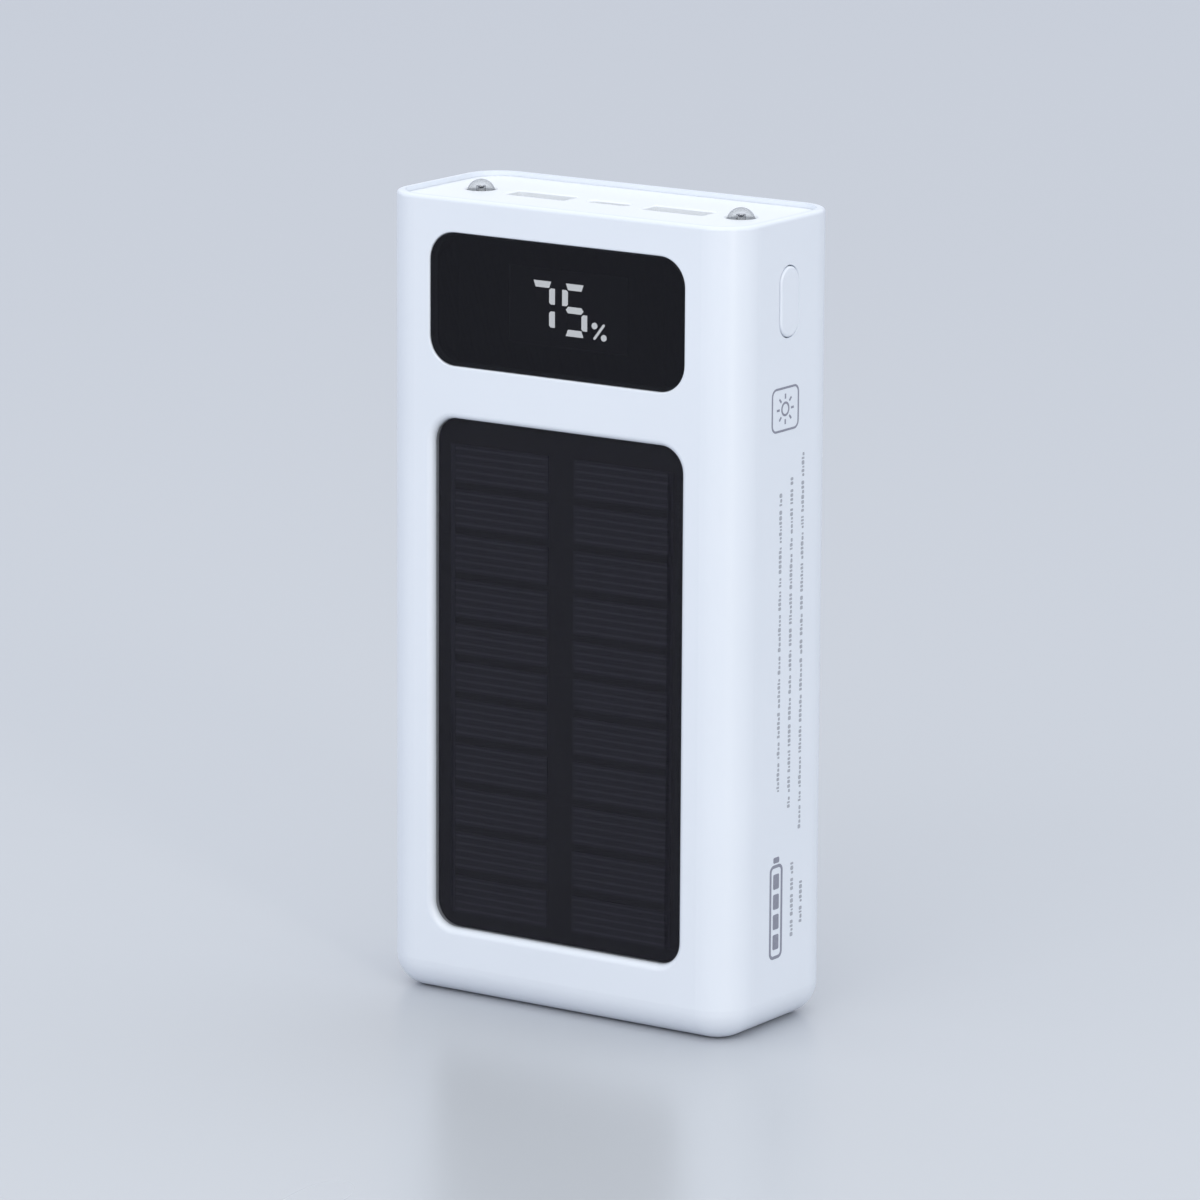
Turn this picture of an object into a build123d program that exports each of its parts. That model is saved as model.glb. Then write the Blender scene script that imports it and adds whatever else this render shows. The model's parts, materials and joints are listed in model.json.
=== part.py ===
from build123d import *
import os

# Solar power bank standing on its base, in millimetres.
# Origin at the centre of the underside, +X to the right, -Y to the front, +Z up.

# ---- Case: one seamless tub, open at the top ----
WIDTH = 72.5
DEPTH = 32.2
HEIGHT = 140.0
CORNER_R = 7.0
BASE_R = 5.8
TOP_EDGE_R = 0.7
WALL = 2.2
FRONT_Y = -DEPTH / 2
SIDE_X = WIDTH / 2
CAVITY_X = SIDE_X - WALL
CAVITY_Y = DEPTH / 2 - WALL
POCKET_WALL = 1.6
POCKET_FLOOR = 1.2

# ---- Port plate: closes the top, a little below the rim ----
RIM_W = 1.4
PLATE_DROP = 0.85
PLATE_T = 1.8
PLATE_GAP = 0.1
PLATE_TOP = HEIGHT - PLATE_DROP
PLATE_BOTTOM = PLATE_TOP - PLATE_T
SKIRT_T = 1.2
SKIRT_L = 4.1
SKIRT_FRONT = 2.6
SNAP_L = 12.0
SNAP_H = 0.9
SNAP_REACH = 0.4
SNAP_Z = PLATE_BOTTOM - 2.6
SNAP_PLAY = 0.2
SNAP_END_PLAY = 0.3
PORT_EDGE = 0.25

# ---- Display window ----
WINDOW_W = 51.8
WINDOW_H = 22.8
WINDOW_R = 4.9
WINDOW_Z = 122.65
WINDOW_T = 1.5
WINDOW_SINK = 0.1
WINDOW_EDGE = 0.2
WINDOW_GAP = 0.08
WINDOW_RIM_R = 0.35
WINDOW_TAPE_T = 0.2
TAPE_INSET = 0.5
WINDOW_POCKET = WINDOW_SINK + WINDOW_T + WINDOW_TAPE_T
APERTURE_W = 24.4
APERTURE_H = 13.4
APERTURE_X = 1.4

# ---- Seven-segment display ----
MODULE_W = 24.0
MODULE_H = 13.0
MODULE_T = 6.0
MODULE_GAP = 0.15
SEGMENT_T = 0.12
DIGITS_Z = 122.86
DIGIT_X = {"tens": -3.89, "units": 2.71}
DIGIT_W = 3.95
DIGIT_H = 7.85
STROKE = 1.1
BAR_SLANT = 0.42
BAR_INSET = 0.22
UPRIGHT_GAP = 0.6
UPRIGHT_CUT = 0.3
LIT = {"tens": "abc", "units": "acdfg"}
PERCENT_X = 7.7
PERCENT_Z = 119.73
PERCENT_SLASH_L = 3.4
PERCENT_SLASH_W = 0.42
PERCENT_SLASH_TILT = 52
PERCENT_DOT = 0.95
PERCENT_DOT_R = 0.55

# ---- Solar panel ----
PANEL_W = 50.8
PANEL_H = 89.4
PANEL_R = 4.3
PANEL_Z = 57.2
PANEL_SINK = 1.24
PANEL_GAP = 0.12
PANEL_RIM_R = 1.15
COVER_T = 0.5
RIBBON_T = 0.08
CELL_FILM_T = 0.2
BACKBOARD_T = 0.8
PANEL_TAPE_T = 0.15
PANEL_TAPE_W = 5.0
PANEL_TAPE_END_W = 6.0
PANEL_TAPE_INNER_R = 1.0
CELL_COLUMN_W = 20.2
CELL_COLUMN_X = 12.7
CELL_ROWS = 11
CELL_SHORT_ROWS = (4, 5)
CELL_PITCH = 7.85
CELL_SHORT_PITCH = 6.55
CELL_GAP = 1.3
CELL_TOP_MARGIN = 3.9
RIBBON_W = 0.8
RIBBON_X = 22.2
PANEL_POCKET = PANEL_SINK + COVER_T + RIBBON_T + CELL_FILM_T + BACKBOARD_T + PANEL_TAPE_T

# ---- Power button and its switch ----
BUTTON_Z = 125.8
BUTTON_Y = 0.2
BUTTON_L = 12.0
BUTTON_W = 5.6
BUTTON_GAP = 0.18
BUTTON_CROWN_R = 0.45
BUTTON_PROUD = 0.25
BUTTON_TRAVEL = 0.3
FLANGE_EXTRA = 1.7
FLANGE_T = 0.8
FLANGE_PLAY = 0.05
STEM_W = 2.4
STEM_L = 4.0
SWITCH_W = 4.4
SWITCH_H = 6.0
SWITCH_L = 3.5
PLUNGER_W = 1.4
PLUNGER_H = 2.8
PLUNGER_OUT = 0.9
PLUNGER_IN = 1.2
PLUNGER_CLEARANCE = 0.05
PLUNGER_OVERTRAVEL = 0.2

# ---- Torch lamps ----
LAMP_X = 26.6
LAMP_R = 2.5
LAMP_FLANGE_R = 2.9
LAMP_FLANGE_T = 1.0
LAMP_DOME_Z = PLATE_TOP - 0.8
LAMP_HOLE_R = 2.65
LAMP_LEAD_X = 1.27
LAMP_LEAD_W = 0.5
LAMP_LEAD_DROP = 3.6
REFLECTOR_R = 0.85
REFLECTOR_T = 3.3
DISH_R = 0.65
DISH_DEPTH = 0.4
DISH_TAPER = 20
CHIP_W = 0.5
CHIP_T = 0.2

# ---- Charging sockets ----
USB_A_X = 14.0
USB_A_W = 13.1
USB_A_H = 5.7
USB_A_L = 14.0
USB_A_R = 0.6
USB_A_BASE_T = 2.6
USB_A_TONGUE_W = 11.1
USB_A_TONGUE_T = 1.84
USB_A_TONGUE_Y = 1.02
USB_A_TONGUE_SINK = 1.2
USB_A_TONGUE_EDGE = 0.25
USB_A_CONTACT_W = 1.0
USB_A_CONTACT_X = (-3.5, -1.0, 1.0, 3.5)
USB_A_LEAF_W = 1.8
USB_A_LEAF_L = 6.0
USB_A_LEAF_X = 2.9
USB_A_LEAF_SINK = 1.6
USB_A_LEAF_BOW = 0.4
USB_A_LEAF_PEAK = 0.35
USB_C_W = 8.94
USB_C_H = 3.16
USB_C_L = 7.4
USB_C_BASE_T = 1.6
USB_C_TONGUE_W = 6.7
USB_C_TONGUE_T = 0.7
USB_C_TONGUE_SINK = 1.1
USB_C_TONGUE_EDGE = 0.12
USB_C_CONTACTS = 12
USB_C_PITCH = 0.5
USB_C_CONTACT_W = 0.25
USB_C_CONTACT_T = 0.06
SHELL_T = 0.3
FIT_GAP = 0.05
PORT_PLAY = 0.05
SHELL_SINK = PLATE_T + FIT_GAP
CONTACT_T = 0.25
CONTACT_TAIL = 1.4
CONTACT_SINK = 0.8

# ---- Boards ----
BOARD_T = 1.6
BOARD_Y = USB_A_H / 2
BOARD_W = 62.0
BOARD_BOTTOM = 104.4
BOARD_TOP = 134.4
BOARD_CORNER_R = 1.0
DISPLAY_BOARD_T = 1.2
DISPLAY_BOARD_W = 42.0
DISPLAY_BOARD_X = -4.0
DISPLAY_BOARD_H = 20.0
DISPLAY_BOARD_Z = 122.1
PIN_W = 0.64
PIN_PITCH = 2.54
PIN_COUNT = 6
PIN_X = -22.0
PIN_Z = 116.0

# ---- Parts on the boards: places are (x, z) on the main board ----
INDUCTOR_W = 7.5
INDUCTOR_H = 4.2
INDUCTOR_R = 1.2
INDUCTOR_PLACES = ((-12.0, 113.5), (12.0, 113.5))
CONTROLLER_W = 6.0
CONTROLLER_Z = 117.2
CHIP_PACKAGE_H = 0.9
TRANSISTOR_W = 5.0
TRANSISTOR_L = 4.0
TRANSISTOR_H = 1.5
TRANSISTOR_PLACES = ((-20.5, 106.6), (-13.5, 106.6), (13.5, 106.6), (0, 111.3))
CAPACITOR_R = 2.8
CAPACITOR_H = 5.4
CAPACITOR_EDGE = 0.5
CAPACITOR_PLACES = ((-27.0, 115.5), (21.0, 115.5), (27.5, 115.5))
PASSIVE_W = 2.0
PASSIVE_L = 1.25
PASSIVE_PITCH = 3.6
PASSIVE_COUNT = 12
PASSIVE_Z = 120.9
GUARD_CHIP_W = 4.0
GUARD_CHIP_L = 3.0
GUARD_CHIP_PITCH = 7.0
GUARD_CHIP_COUNT = 4
GUARD_CHIP_INSET = 6.0

# ---- Bracket and screws ----
BRACKET_FLOOR_Z = 102.0
BRACKET_FLOOR_T = 1.6
BRACKET_CLEARANCE = 0.4
BRACKET_WALL_Y = 9.0
BRACKET_WALL_T = 1.5
BRACKET_WALL_TOP = 132.0
BOSS_R = 2.5
SCREW_R = 1.0
SCREW_HEAD_R = 1.9
SCREW_HEAD_T = 1.3
SCREW_L = 5.0
SCREW_HEAD_EDGE = 0.5
SCREW_HOLE_PLAY = 0.1
SCREW_THREAD_PLAY = 0.04
SCREW_SLOT_L = 2.2
SCREW_SLOT_W = 0.45
SCREW_SLOT_DEPTH = 0.7
UPPER_SCREW_X = 24.2
UPPER_SCREW_Z = 128.5
LOWER_SCREW_X = 28.2
LOWER_SCREW_Z = 107.2

# ---- Battery ----
BATTERY_W = 62.0
BATTERY_H = 90.0
BATTERY_T = 11.5
BATTERY_R = 2.2
BATTERY_BOTTOM = 4.6
BATTERY_EDGE = 0.8
FLAP_H = 2.6
FLAP_T = 0.9
FLAP_INSET = 3.0
TAB_W = 4.0
TAB_T = 0.2
TAB_X = 12.0
TAPE_W = 50.0
TAPE_H = 78.0
GUARD_W = 36.0
GUARD_T = 1.0
GUARD_OVERHANG = 2.0
GUARD_Z = 98.8

# ---- Leads ----
BATTERY_LEAD_D = 1.4
BATTERY_LEAD_X = 4.0
BATTERY_LEAD_Y = -2.4
BATTERY_LEAD_TOP = 107.0
BATTERY_LEAD_BEND = 2.2
SOLAR_LEAD_D = 1.0
SOLAR_LEAD_X = {"red": 20.0, "black": 22.0}
SOLAR_LEAD_Z = 98.2
SOLAR_LEAD_Y = -7.5
SOLAR_LEAD_TOP = 107.0
SOLAR_LEAD_BEND = 2.6
LEAD_HOLE_W = 5.0
LEAD_HOLE_H = 2.4
LEAD_NOTCH_W = 4.0

# ---- Levels through the depth, from the front inwards ----
WINDOW_BACK = FRONT_Y + WINDOW_SINK + WINDOW_T
WINDOW_FLOOR = FRONT_Y + WINDOW_POCKET
WINDOW_BACKING = WINDOW_FLOOR + POCKET_FLOOR
MODULE_FRONT = WINDOW_BACK + MODULE_GAP + SEGMENT_T
MODULE_BACK = MODULE_FRONT + MODULE_T
PANEL_FRONT = FRONT_Y + PANEL_SINK
COVER_BACK = PANEL_FRONT + COVER_T
CELL_FILM_FRONT = COVER_BACK + RIBBON_T
BACKBOARD_FRONT = CELL_FILM_FRONT + CELL_FILM_T
BACKBOARD_BACK = BACKBOARD_FRONT + BACKBOARD_T
PANEL_FLOOR = FRONT_Y + PANEL_POCKET
PANEL_BACKING = PANEL_FLOOR + POCKET_FLOOR
TAPE_T = (CAVITY_Y - PANEL_BACKING - 2 * BATTERY_T) / 3
BATTERY_FRONT_Y = PANEL_BACKING + TAPE_T
BATTERY_REAR_Y = BATTERY_FRONT_Y + BATTERY_T + TAPE_T
BATTERY_TOP = BATTERY_BOTTOM + BATTERY_H
BATTERY_MID_Z = BATTERY_BOTTOM + BATTERY_H / 2
FLANGE_OUTER_X = CAVITY_X - FLANGE_PLAY
FLANGE_INNER_X = FLANGE_OUTER_X - FLANGE_T
SWITCH_OUTER_X = BOARD_W / 2
PLUNGER_TIP_X = SWITCH_OUTER_X + PLUNGER_OUT
SWITCH_Y = BOARD_Y - SWITCH_W / 2
BOARD_BACK = BOARD_Y + BOARD_T
USB_MOUTH = PLATE_TOP - SHELL_SINK
USB_A_BOTTOM = USB_MOUTH - USB_A_L
USB_C_BOTTOM = USB_MOUTH - USB_C_L
LAMP_BASE_Z = PLATE_BOTTOM - LAMP_FLANGE_T
SOLAR_LEAD_MID_X = sum(SOLAR_LEAD_X.values()) / 2
SCREW_POINTS = [
    (-UPPER_SCREW_X, UPPER_SCREW_Z),
    (UPPER_SCREW_X, UPPER_SCREW_Z),
    (-LOWER_SCREW_X, LOWER_SCREW_Z),
    (LOWER_SCREW_X, LOWER_SCREW_Z),
]


def front_plane(y):
    """Plane seen from the front at depth y: sketch x is +X, sketch y is +Z, normal is -Y."""
    return Plane(origin=(0, y, 0), x_dir=(1, 0, 0), z_dir=(0, -1, 0))


def side_plane(x):
    """Plane seen from the right at x: sketch x is +Y, sketch y is +Z, normal is +X."""
    return Plane(origin=(x, 0, 0), x_dir=(0, 1, 0), z_dir=(1, 0, 0))


def level(z):
    """Horizontal plane at height z."""
    return Plane.XY.offset(z)


def cell_rows():
    """Centre height and height of each row of solar cells, from the top row down."""
    rows = []
    top = PANEL_Z + PANEL_H / 2 - CELL_TOP_MARGIN
    for row in range(CELL_ROWS):
        pitch = CELL_SHORT_PITCH if row in CELL_SHORT_ROWS else CELL_PITCH
        rows.append((top - pitch / 2, pitch - CELL_GAP))
        top -= pitch
    return rows


def segment_outlines(centre_x):
    """Outline of each bar of a seven-segment digit, by its usual letter."""
    left, right = centre_x - DIGIT_W / 2, centre_x + DIGIT_W / 2
    top, bottom = DIGITS_Z + DIGIT_H / 2, DIGITS_Z - DIGIT_H / 2
    half = STROKE / 2
    start, end = left + BAR_INSET, right - BAR_INSET

    def outer_bar(z, sign):
        """Horizontal bar whose outer side, up or down by sign, is the longer one."""
        return [
            (start, z + sign * half),
            (end, z + sign * half),
            (end - BAR_SLANT, z - sign * half),
            (start + BAR_SLANT, z - sign * half),
        ]

    def upright(x, sign, low, high):
        """Vertical bar between two heights, with its inner corners cut."""
        return [
            (x + sign * half, low),
            (x + sign * half, high),
            (x - sign * (half - UPRIGHT_CUT), high),
            (x - sign * half, high - UPRIGHT_CUT),
            (x - sign * half, low + UPRIGHT_CUT),
            (x - sign * (half - UPRIGHT_CUT), low),
        ]

    middle = [
        (start + BAR_SLANT, DIGITS_Z + half),
        (end - BAR_SLANT, DIGITS_Z + half),
        (end, DIGITS_Z),
        (end - BAR_SLANT, DIGITS_Z - half),
        (start + BAR_SLANT, DIGITS_Z - half),
        (start, DIGITS_Z),
    ]
    return {
        "a": outer_bar(top, 1),
        "b": upright(right, 1, DIGITS_Z + UPRIGHT_GAP, top - UPRIGHT_GAP),
        "c": upright(right, 1, bottom + UPRIGHT_GAP, DIGITS_Z - UPRIGHT_GAP),
        "d": outer_bar(bottom, -1),
        "e": upright(left, -1, bottom + UPRIGHT_GAP, DIGITS_Z - UPRIGHT_GAP),
        "f": upright(left, -1, DIGITS_Z + UPRIGHT_GAP, top - UPRIGHT_GAP),
        "g": middle,
    }


def lead_path(points, bend):
    """Route of a lead: straight runs joined by tangent arcs."""
    with BuildLine(mode=Mode.PRIVATE) as path:
        FilletPolyline(*points, radius=bend)
    return path.line


def board_part_plane():
    """Front face of the main board, where its parts stand."""
    return front_plane(BOARD_Y)


os.makedirs("parts", exist_ok=True)

# Inside of the tub, used to hollow the case
with BuildPart() as cavity:
    with BuildSketch(level(WALL)):
        RectangleRounded(2 * CAVITY_X, 2 * CAVITY_Y, CORNER_R - WALL)
    extrude(amount=HEIGHT)
    fillet(cavity.faces().sort_by(Axis.Z)[0].edges(), BASE_R - WALL)

# Case: tub with a window pocket, a panel pocket, a button slot and a seat for the port plate
with BuildPart() as case_body:
    with BuildSketch(level(0)):
        RectangleRounded(WIDTH, DEPTH, CORNER_R)
    extrude(amount=HEIGHT)
    fillet(case_body.faces().sort_by(Axis.Z)[0].edges(), BASE_R)
    fillet(case_body.faces().sort_by(Axis.Z)[-1].edges(), TOP_EDGE_R)
    add(cavity.part, mode=Mode.SUBTRACT)
    # Thicker wall behind each pocket
    with BuildSketch(front_plane(FRONT_Y + WALL / 2)):
        with Locations((0, WINDOW_Z)):
            RectangleRounded(WINDOW_W + 2 * POCKET_WALL, WINDOW_H + 2 * POCKET_WALL, WINDOW_R)
    extrude(amount=FRONT_Y + WALL / 2 - WINDOW_BACKING)
    with BuildSketch(front_plane(FRONT_Y + WALL / 2)):
        with Locations((0, PANEL_Z)):
            RectangleRounded(PANEL_W + 2 * POCKET_WALL, PANEL_H + 2 * POCKET_WALL, PANEL_R)
    extrude(amount=FRONT_Y + WALL / 2 - PANEL_BACKING)
    # Pockets for the window and the panel
    with BuildSketch(front_plane(FRONT_Y)):
        with Locations((0, WINDOW_Z)):
            RectangleRounded(
                WINDOW_W + 2 * WINDOW_GAP, WINDOW_H + 2 * WINDOW_GAP, WINDOW_R + WINDOW_GAP
            )
    extrude(amount=-WINDOW_POCKET, mode=Mode.SUBTRACT)
    with BuildSketch(front_plane(FRONT_Y)):
        with Locations((0, PANEL_Z)):
            RectangleRounded(
                PANEL_W + 2 * PANEL_GAP, PANEL_H + 2 * PANEL_GAP, PANEL_R + PANEL_GAP
            )
    extrude(amount=-PANEL_POCKET, mode=Mode.SUBTRACT)
    # Rounded rims of the two pockets
    front_face = case_body.faces().filter_by(Plane.XZ).sort_by(Axis.Y)[0]
    pocket_rims = sorted(front_face.inner_wires(), key=lambda wire: wire.center().Z)
    fillet(pocket_rims[0].edges(), PANEL_RIM_R)
    front_face = case_body.faces().filter_by(Plane.XZ).sort_by(Axis.Y)[0]
    pocket_rims = sorted(front_face.inner_wires(), key=lambda wire: wire.center().Z)
    fillet(pocket_rims[-1].edges(), WINDOW_RIM_R)
    # Opening for the display module
    with BuildSketch(front_plane(WINDOW_FLOOR)):
        with Locations((APERTURE_X, DIGITS_Z)):
            Rectangle(APERTURE_W, APERTURE_H)
    extrude(amount=-2 * POCKET_FLOOR, mode=Mode.SUBTRACT)
    # Hole for the solar leads
    with BuildSketch(front_plane(PANEL_FLOOR)):
        with Locations((SOLAR_LEAD_MID_X, SOLAR_LEAD_Z)):
            SlotOverall(LEAD_HOLE_W, LEAD_HOLE_H)
    extrude(amount=-2 * POCKET_FLOOR, mode=Mode.SUBTRACT)
    # Seat for the port plate
    with BuildSketch(level(PLATE_BOTTOM)):
        RectangleRounded(WIDTH - 2 * RIM_W, DEPTH - 2 * RIM_W, CORNER_R - RIM_W)
    extrude(amount=HEIGHT - PLATE_BOTTOM, mode=Mode.SUBTRACT)
    # Grooves for the plate's snap ridges
    with Locations((CAVITY_X, 0, SNAP_Z), (-CAVITY_X, 0, SNAP_Z)):
        Box(
            2 * (SNAP_REACH + SNAP_PLAY),
            SNAP_L + 2 * SNAP_END_PLAY,
            SNAP_H + 2 * SNAP_PLAY,
            mode=Mode.SUBTRACT,
        )
    # Slot for the power button, with a softened outer edge
    with BuildSketch(side_plane(SIDE_X)):
        with Locations((BUTTON_Y, BUTTON_Z)):
            SlotOverall(BUTTON_L + 2 * BUTTON_GAP, BUTTON_W + 2 * BUTTON_GAP, rotation=90)
    extrude(amount=-2 * WALL, mode=Mode.SUBTRACT)
    right_face = case_body.faces().filter_by(Plane.YZ).sort_by(Axis.X)[-1]
    fillet(right_face.inner_wires()[0].edges(), BUTTON_GAP)
case_body.part.label = "case_body"
export_step(case_body.part, "parts/case_body.step")

# Port plate: top cover with socket and lamp openings and a snap skirt
with BuildPart() as port_plate:
    with BuildSketch(level(PLATE_BOTTOM)):
        RectangleRounded(
            WIDTH - 2 * (RIM_W + PLATE_GAP),
            DEPTH - 2 * (RIM_W + PLATE_GAP),
            CORNER_R - RIM_W - PLATE_GAP,
        )
    extrude(amount=PLATE_T)
    with BuildSketch(level(PLATE_BOTTOM)):
        RectangleRounded(
            2 * (CAVITY_X - PLATE_GAP), 2 * (CAVITY_Y - PLATE_GAP), CORNER_R - WALL - PLATE_GAP
        )
        RectangleRounded(
            2 * (CAVITY_X - PLATE_GAP - SKIRT_T),
            2 * (CAVITY_Y - PLATE_GAP - SKIRT_T),
            CORNER_R - WALL - PLATE_GAP - SKIRT_T,
            mode=Mode.SUBTRACT,
        )
        with Locations((0, -CAVITY_Y)):
            Rectangle(WIDTH, 2 * SKIRT_FRONT, mode=Mode.SUBTRACT)
    extrude(amount=-SKIRT_L)
    # Snap ridges on the two short sides
    with Locations((CAVITY_X - PLATE_GAP, 0, SNAP_Z), (PLATE_GAP - CAVITY_X, 0, SNAP_Z)):
        Box(2 * SNAP_REACH, SNAP_L, SNAP_H)
    # Openings in line with two large sockets, one small socket and two lamps
    with BuildSketch(level(PLATE_TOP)):
        with Locations((-USB_A_X, 0), (USB_A_X, 0)):
            RectangleRounded(
                USB_A_W - 2 * (SHELL_T - PORT_PLAY),
                USB_A_H - 2 * (SHELL_T - PORT_PLAY),
                USB_A_R - SHELL_T + PORT_PLAY,
            )
        SlotOverall(USB_C_W - 2 * (SHELL_T - PORT_PLAY), USB_C_H - 2 * (SHELL_T - PORT_PLAY))
        with Locations((-LAMP_X, 0), (LAMP_X, 0)):
            Circle(LAMP_HOLE_R)
    extrude(amount=-PLATE_T, mode=Mode.SUBTRACT)
    plate_face = port_plate.faces().filter_by(Axis.Z).sort_by(Axis.Z)[-1]
    opening_edges = [edge for wire in plate_face.inner_wires() for edge in wire.edges()]
    chamfer(opening_edges, PORT_EDGE)
port_plate.part.label = "port_plate"
export_step(port_plate.part, "parts/port_plate.step")

# Display window: flat pane flush with the front
with BuildPart() as display_window:
    with BuildSketch(front_plane(WINDOW_BACK)):
        with Locations((0, WINDOW_Z)):
            RectangleRounded(WINDOW_W, WINDOW_H, WINDOW_R)
    extrude(amount=WINDOW_T)
    fillet(display_window.faces().sort_by(Axis.Y)[0].edges(), WINDOW_EDGE)
display_window.part.label = "display_window"
export_step(display_window.part, "parts/display_window.step")

# Adhesive frame behind the window
with BuildPart() as window_tape:
    with BuildSketch(front_plane(WINDOW_FLOOR)):
        with Locations((0, WINDOW_Z)):
            RectangleRounded(
                WINDOW_W - 2 * TAPE_INSET, WINDOW_H - 2 * TAPE_INSET, WINDOW_R - TAPE_INSET
            )
        with Locations((APERTURE_X, DIGITS_Z)):
            Rectangle(APERTURE_W, APERTURE_H, mode=Mode.SUBTRACT)
    extrude(amount=WINDOW_TAPE_T)
window_tape.part.label = "window_tape"
export_step(window_tape.part, "parts/window_tape.step")

# Display module: black block behind the window
with BuildPart() as display_module:
    with BuildSketch(front_plane(MODULE_BACK)):
        with Locations((APERTURE_X, DIGITS_Z)):
            Rectangle(MODULE_W, MODULE_H)
    extrude(amount=MODULE_T)
display_module.part.label = "display_module"
export_step(display_module.part, "parts/display_module.step")

# Light bars that show seventy-five per cent
with BuildPart() as lit_segments:
    with BuildSketch(front_plane(MODULE_FRONT)):
        for digit, centre_x in DIGIT_X.items():
            outlines = segment_outlines(centre_x)
            for letter in LIT[digit]:
                with BuildLine():
                    Polyline(*outlines[letter], close=True)
                make_face()
        with Locations((PERCENT_X, PERCENT_Z)):
            SlotOverall(PERCENT_SLASH_L, PERCENT_SLASH_W, rotation=PERCENT_SLASH_TILT)
        with Locations(
            (PERCENT_X - PERCENT_DOT, PERCENT_Z + PERCENT_DOT),
            (PERCENT_X + PERCENT_DOT, PERCENT_Z - PERCENT_DOT),
        ):
            Circle(PERCENT_DOT_R)
    extrude(amount=SEGMENT_T)
lit_segments.part.label = "lit_segments"
export_step(lit_segments.part, "parts/lit_segments.step")

# Light bars that are off
with BuildPart() as dark_segments:
    with BuildSketch(front_plane(MODULE_FRONT)):
        for digit, centre_x in DIGIT_X.items():
            for letter, outline in segment_outlines(centre_x).items():
                if letter not in LIT[digit]:
                    with BuildLine():
                        Polyline(*outline, close=True)
                    make_face()
    extrude(amount=SEGMENT_T)
dark_segments.part.label = "dark_segments"
export_step(dark_segments.part, "parts/dark_segments.step")

# Board that carries the display module
with BuildPart() as display_board:
    with BuildSketch(front_plane(MODULE_BACK)):
        with Locations((DISPLAY_BOARD_X, DISPLAY_BOARD_Z)):
            Rectangle(DISPLAY_BOARD_W, DISPLAY_BOARD_H)
    extrude(amount=-DISPLAY_BOARD_T)
display_board.part.label = "display_board"
export_step(display_board.part, "parts/display_board.step")

# Header pins from the display board to the main board
with BuildPart() as display_pins:
    with BuildSketch(front_plane(MODULE_BACK + DISPLAY_BOARD_T)):
        with Locations((PIN_X, PIN_Z)):
            with GridLocations(0, PIN_PITCH, 1, PIN_COUNT):
                Rectangle(PIN_W, PIN_W)
    extrude(amount=MODULE_BACK + DISPLAY_BOARD_T - BOARD_Y)
display_pins.part.label = "display_pins"
export_step(display_pins.part, "parts/display_pins.step")

# Clear cover of the solar panel
with BuildPart() as solar_cover:
    with BuildSketch(front_plane(COVER_BACK)):
        with Locations((0, PANEL_Z)):
            RectangleRounded(PANEL_W, PANEL_H, PANEL_R)
    extrude(amount=COVER_T)
solar_cover.part.label = "solar_cover"
export_step(solar_cover.part, "parts/solar_cover.step")

# Solar cells: two columns of strips
with BuildPart() as solar_cells:
    with BuildSketch(front_plane(BACKBOARD_FRONT)):
        for row_z, row_h in cell_rows():
            with Locations((-CELL_COLUMN_X, row_z), (CELL_COLUMN_X, row_z)):
                Rectangle(CELL_COLUMN_W, row_h)
    extrude(amount=CELL_FILM_T)
solar_cells.part.label = "solar_cells"
export_step(solar_cells.part, "parts/solar_cells.step")

# Ribbons that join the cells down each outer side
cell_list = cell_rows()
ribbon_top = cell_list[0][0] + cell_list[0][1] / 2
ribbon_bottom = cell_list[-1][0] - cell_list[-1][1] / 2
with BuildPart() as solar_ribbons:
    with BuildSketch(front_plane(CELL_FILM_FRONT)):
        with Locations(
            (-RIBBON_X, (ribbon_top + ribbon_bottom) / 2),
            (RIBBON_X, (ribbon_top + ribbon_bottom) / 2),
        ):
            Rectangle(RIBBON_W, ribbon_top - ribbon_bottom)
    extrude(amount=RIBBON_T)
solar_ribbons.part.label = "solar_ribbons"
export_step(solar_ribbons.part, "parts/solar_ribbons.step")

# Stiff board under the cells
with BuildPart() as solar_backboard:
    with BuildSketch(front_plane(BACKBOARD_BACK)):
        with Locations((0, PANEL_Z)):
            RectangleRounded(PANEL_W, PANEL_H, PANEL_R)
    extrude(amount=BACKBOARD_T)
solar_backboard.part.label = "solar_backboard"
export_step(solar_backboard.part, "parts/solar_backboard.step")

# Adhesive frame under the solar panel
with BuildPart() as solar_tape:
    with BuildSketch(front_plane(PANEL_FLOOR)):
        with Locations((0, PANEL_Z)):
            RectangleRounded(
                PANEL_W - 2 * TAPE_INSET, PANEL_H - 2 * TAPE_INSET, PANEL_R - TAPE_INSET
            )
            RectangleRounded(
                PANEL_W - 2 * PANEL_TAPE_W,
                PANEL_H - 2 * PANEL_TAPE_END_W,
                PANEL_TAPE_INNER_R,
                mode=Mode.SUBTRACT,
            )
        with Locations((SOLAR_LEAD_MID_X, SOLAR_LEAD_Z)):
            SlotOverall(LEAD_HOLE_W, LEAD_HOLE_H, mode=Mode.SUBTRACT)
    extrude(amount=PANEL_TAPE_T)
solar_tape.part.label = "solar_tape"
export_step(solar_tape.part, "parts/solar_tape.step")

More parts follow.
